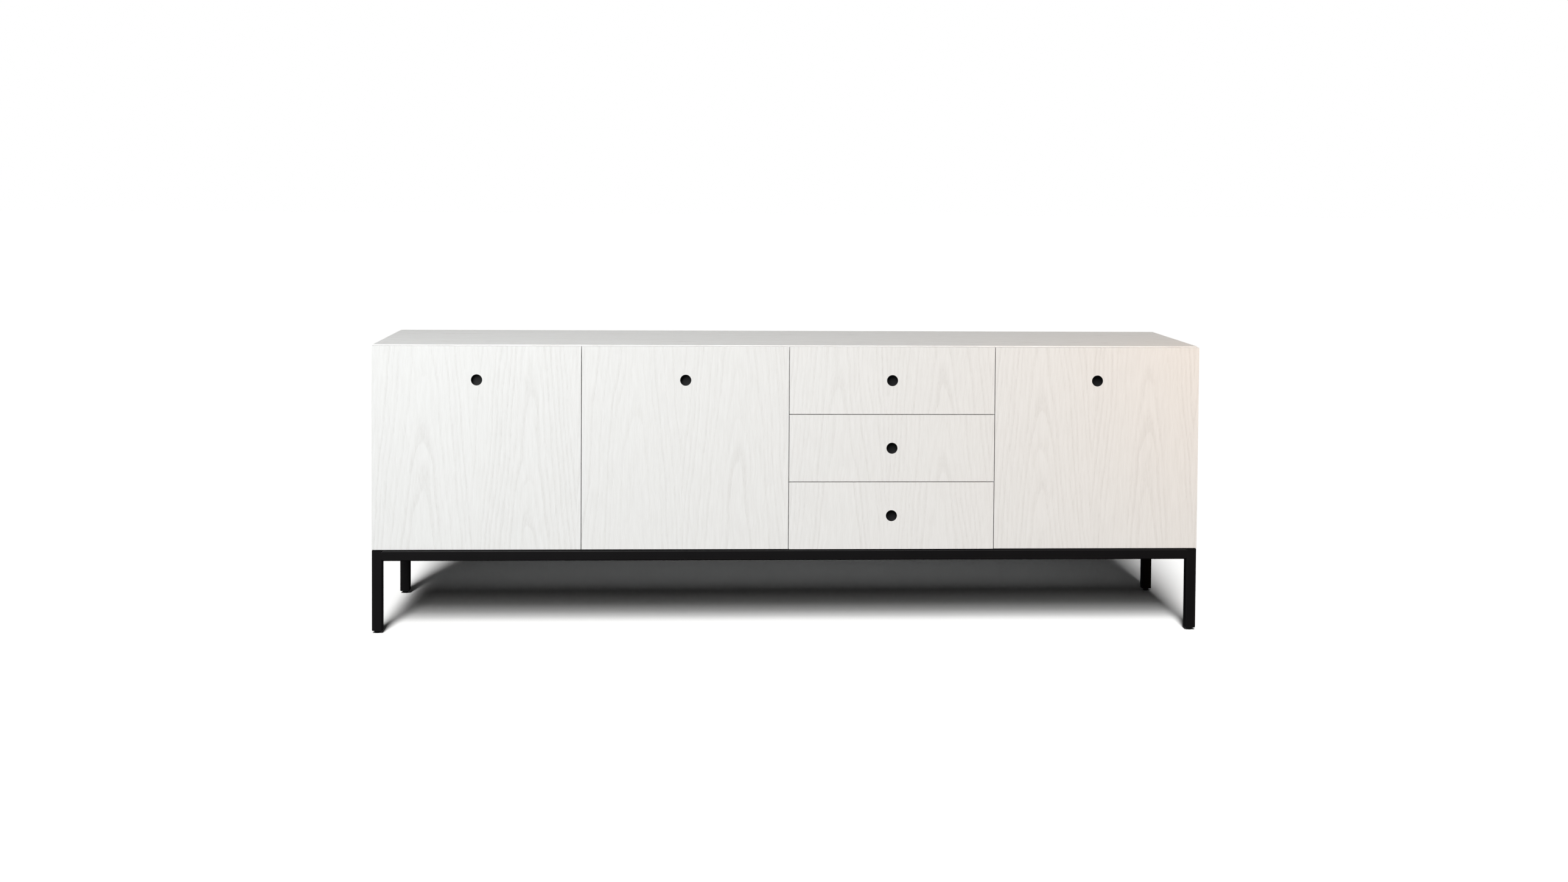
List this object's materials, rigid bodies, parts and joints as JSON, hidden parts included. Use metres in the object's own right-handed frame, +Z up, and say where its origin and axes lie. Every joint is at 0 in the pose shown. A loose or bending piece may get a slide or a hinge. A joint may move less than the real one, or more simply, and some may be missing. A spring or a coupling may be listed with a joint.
{
  "type": "sideboard",
  "caption": "Long low sideboard in white open-grain ash with drop-down flaps, stacked drawers and round finger pulls, on a black square-tube frame.",
  "frame": {"origin": "on the floor, under the centre of the whole sideboard", "axes": "+Z up, fronts face -Y, +X to the right seen from the front, along the length"},
  "size_m": [2, 0.48, 0.695],
  "materials": {
    "white_ash": "white open-pore lacquer on ash veneer, matt",
    "birch": "clear lacquered birch plywood",
    "black_steel": "black fine-texture powder coat",
    "zinc_steel": "bright zinc plate",
    "black_plastic": "moulded, fine texture",
    "grey_plastic": "moulded, satin",
    "soft_bumper": "soft clear bumper"
  },
  "bodies": {
    "root": {"back_panel": "white_ash", "base_legs": "black_steel", "base_long_rails": "black_steel", "base_short_rails": "black_steel", "bottom_panel": "white_ash", "bumpers": "soft_bumper", "cabinet_runners": "zinc_steel", "cabinet_screws": "zinc_steel", "centre_divider": "white_ash", "foot_glides": "black_plastic", "hinge_arms": "zinc_steel", "left_divider": "white_ash", "left_side": "white_ash", "magnet_catches": "grey_plastic", "right_divider": "white_ash", "right_side": "white_ash", "shelf_pins": "zinc_steel", "shelves": "white_ash", "stay_studs": "zinc_steel", "top_panel": "white_ash", "wood_dowels": "birch"},
    "flap_1": {"flap_1_panel": "white_ash", "flap_1_finger_cup": "black_plastic", "flap_1_hinge_leaves": "zinc_steel", "flap_1_stay_brackets": "zinc_steel", "flap_1_strike_plate": "zinc_steel"},
    "flap_1_rods": {"flap_1_stay_rods": "zinc_steel"},
    "flap_1_swivels": {"flap_1_stay_swivels": "grey_plastic"},
    "flap_2": {"flap_2_panel": "white_ash", "flap_2_finger_cup": "black_plastic", "flap_2_hinge_leaves": "zinc_steel", "flap_2_stay_brackets": "zinc_steel", "flap_2_strike_plate": "zinc_steel"},
    "flap_2_rods": {"flap_2_stay_rods": "zinc_steel"},
    "flap_2_swivels": {"flap_2_stay_swivels": "grey_plastic"},
    "flap_4": {"flap_4_panel": "white_ash", "flap_4_finger_cup": "black_plastic", "flap_4_hinge_leaves": "zinc_steel", "flap_4_stay_brackets": "zinc_steel", "flap_4_strike_plate": "zinc_steel"},
    "flap_4_rods": {"flap_4_stay_rods": "zinc_steel"},
    "flap_4_swivels": {"flap_4_stay_swivels": "grey_plastic"},
    "drawer_1": {"drawer_1_front": "white_ash", "drawer_1_finger_cup": "black_plastic", "drawer_1_box": "birch", "drawer_1_bottom": "birch", "drawer_1_runners": "zinc_steel"},
    "drawer_1_middle": {"drawer_1_middle_runners": "zinc_steel"},
    "drawer_2": {"drawer_2_front": "white_ash", "drawer_2_finger_cup": "black_plastic", "drawer_2_box": "birch", "drawer_2_bottom": "birch", "drawer_2_runners": "zinc_steel"},
    "drawer_2_middle": {"drawer_2_middle_runners": "zinc_steel"},
    "drawer_3": {"drawer_3_front": "white_ash", "drawer_3_finger_cup": "black_plastic", "drawer_3_box": "birch", "drawer_3_bottom": "birch", "drawer_3_runners": "zinc_steel"},
    "drawer_3_middle": {"drawer_3_middle_runners": "zinc_steel"}
  },
  "joints": [
    {"name": "flap_1_hinge", "type": "hinge", "parent": "root", "child": "flap_1", "pos_m": [-0.7455, -0.234, 0.211], "axis": [1, 0, 0], "range_deg": [0, 90]},
    {"name": "flap_1_rod_pivot", "type": "hinge", "parent": "flap_1", "child": "flap_1_rods", "pos_m": [-0.7455, -0.214, 0.41], "axis": [1, 0, 0], "range_deg": [-45, 0]},
    {"name": "flap_1_swivel_pivot", "type": "hinge", "parent": "root", "child": "flap_1_swivels", "pos_m": [-0.7455, -0.09076, 0.35059], "axis": [1, 0, 0], "range_deg": [0, 45]},
    {"name": "flap_2_hinge", "type": "hinge", "parent": "root", "child": "flap_2", "pos_m": [-0.25, -0.234, 0.211], "axis": [1, 0, 0], "range_deg": [0, 90]},
    {"name": "flap_2_rod_pivot", "type": "hinge", "parent": "flap_2", "child": "flap_2_rods", "pos_m": [-0.25, -0.214, 0.41], "axis": [1, 0, 0], "range_deg": [-45, 0]},
    {"name": "flap_2_swivel_pivot", "type": "hinge", "parent": "root", "child": "flap_2_swivels", "pos_m": [-0.25, -0.09076, 0.35059], "axis": [1, 0, 0], "range_deg": [0, 45]},
    {"name": "flap_4_hinge", "type": "hinge", "parent": "root", "child": "flap_4", "pos_m": [0.7455, -0.234, 0.211], "axis": [1, 0, 0], "range_deg": [0, 90]},
    {"name": "flap_4_rod_pivot", "type": "hinge", "parent": "flap_4", "child": "flap_4_rods", "pos_m": [0.7455, -0.214, 0.41], "axis": [1, 0, 0], "range_deg": [-45, 0]},
    {"name": "flap_4_swivel_pivot", "type": "hinge", "parent": "root", "child": "flap_4_swivels", "pos_m": [0.7455, -0.09076, 0.35059], "axis": [1, 0, 0], "range_deg": [0, 45]},
    {"name": "drawer_1_slide", "type": "slide", "parent": "root", "child": "drawer_1", "axis": [0, -1, 0], "range_m": [0, 0.38]},
    {"name": "drawer_1_middle_slide", "type": "slide", "parent": "root", "child": "drawer_1_middle", "axis": [0, -1, 0], "range_m": [0, 0.19]},
    {"name": "drawer_2_slide", "type": "slide", "parent": "root", "child": "drawer_2", "axis": [0, -1, 0], "range_m": [0, 0.38]},
    {"name": "drawer_2_middle_slide", "type": "slide", "parent": "root", "child": "drawer_2_middle", "axis": [0, -1, 0], "range_m": [0, 0.19]},
    {"name": "drawer_3_slide", "type": "slide", "parent": "root", "child": "drawer_3", "axis": [0, -1, 0], "range_m": [0, 0.38]},
    {"name": "drawer_3_middle_slide", "type": "slide", "parent": "root", "child": "drawer_3_middle", "axis": [0, -1, 0], "range_m": [0, 0.19]}
  ],
  "couplings": [
    {"joint": "flap_1_rod_pivot", "follows": "flap_1_hinge", "ratio": -0.5},
    {"joint": "flap_1_swivel_pivot", "follows": "flap_1_hinge", "ratio": 0.5},
    {"joint": "flap_2_rod_pivot", "follows": "flap_2_hinge", "ratio": -0.5},
    {"joint": "flap_2_swivel_pivot", "follows": "flap_2_hinge", "ratio": 0.5},
    {"joint": "flap_4_rod_pivot", "follows": "flap_4_hinge", "ratio": -0.5},
    {"joint": "flap_4_swivel_pivot", "follows": "flap_4_hinge", "ratio": 0.5},
    {"joint": "drawer_1_middle_slide", "follows": "drawer_1_slide", "ratio": 0.5},
    {"joint": "drawer_2_middle_slide", "follows": "drawer_2_slide", "ratio": 0.5},
    {"joint": "drawer_3_middle_slide", "follows": "drawer_3_slide", "ratio": 0.5}
  ]
}
